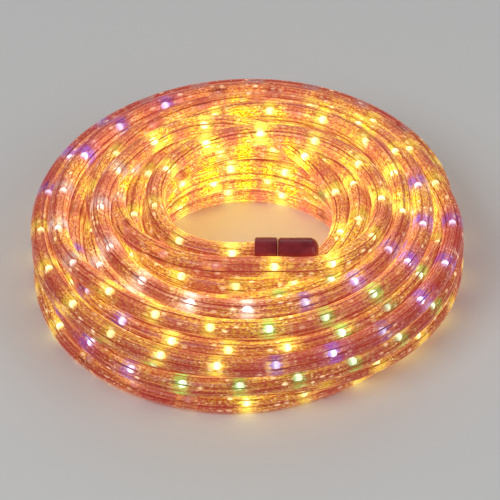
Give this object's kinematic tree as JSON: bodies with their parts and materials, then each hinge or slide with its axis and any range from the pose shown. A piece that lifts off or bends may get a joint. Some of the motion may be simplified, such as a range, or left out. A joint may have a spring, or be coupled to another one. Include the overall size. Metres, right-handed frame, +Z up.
{
  "type": "led rope light",
  "caption": "Coil of lit multicolour LED rope light lying flat, with a capped connector on the inner rim and an end cap outside.",
  "frame": {"origin": "middle of the coil's underside, on the floor, on the coil's axis", "axes": "+Z up along the coil's axis; the connector lies on the inner rim at the front (-Y) and points to +X"},
  "size_m": [0.211, 0.211, 0.0577],
  "materials": {
    "lit_pvc": "clear glossy PVC, glowing red and amber from the lamps inside",
    "dark_plastic": "dark red moulded plastic, slightly glossy"
  },
  "bodies": {
    "root": {"rope_coil": "lit_pvc", "rope_inner_end": "lit_pvc", "rope_outer_end": "lit_pvc", "connector_collar": "dark_plastic", "connector_cap": "dark_plastic", "end_cap": "dark_plastic"}
  },
  "joints": []
}
